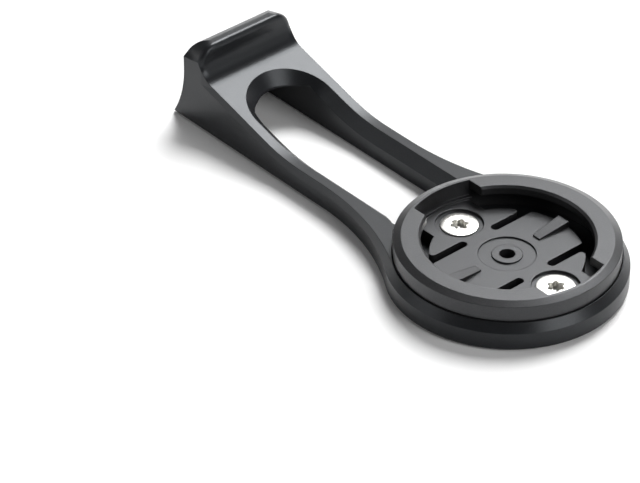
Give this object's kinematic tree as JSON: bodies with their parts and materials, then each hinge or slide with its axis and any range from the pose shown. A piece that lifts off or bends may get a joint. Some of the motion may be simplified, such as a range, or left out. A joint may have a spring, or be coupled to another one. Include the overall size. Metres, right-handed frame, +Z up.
{
  "type": "bike computer mount",
  "caption": "Flat metal arm with a long slot, a raised hollow foot and a round head that carries a moulded quarter-turn twist socket.",
  "frame": {"origin": "on the axis of the round head, in the plane of the flat underside", "axes": "+X from the foot along the arm to the head's front, +Y to the left across the arm, +Z up out of the twist socket"},
  "size_m": [0.0862, 0.037, 0.0148],
  "materials": {
    "arm": "bead-blasted, satin black anodised",
    "insert": "moulded, fine matt grain",
    "screw": "turned stainless"
  },
  "bodies": {
    "root": {"arm": "arm", "quarter_turn_insert": "insert", "insert_screw_rear": "screw", "insert_screw_front": "screw"}
  },
  "joints": []
}
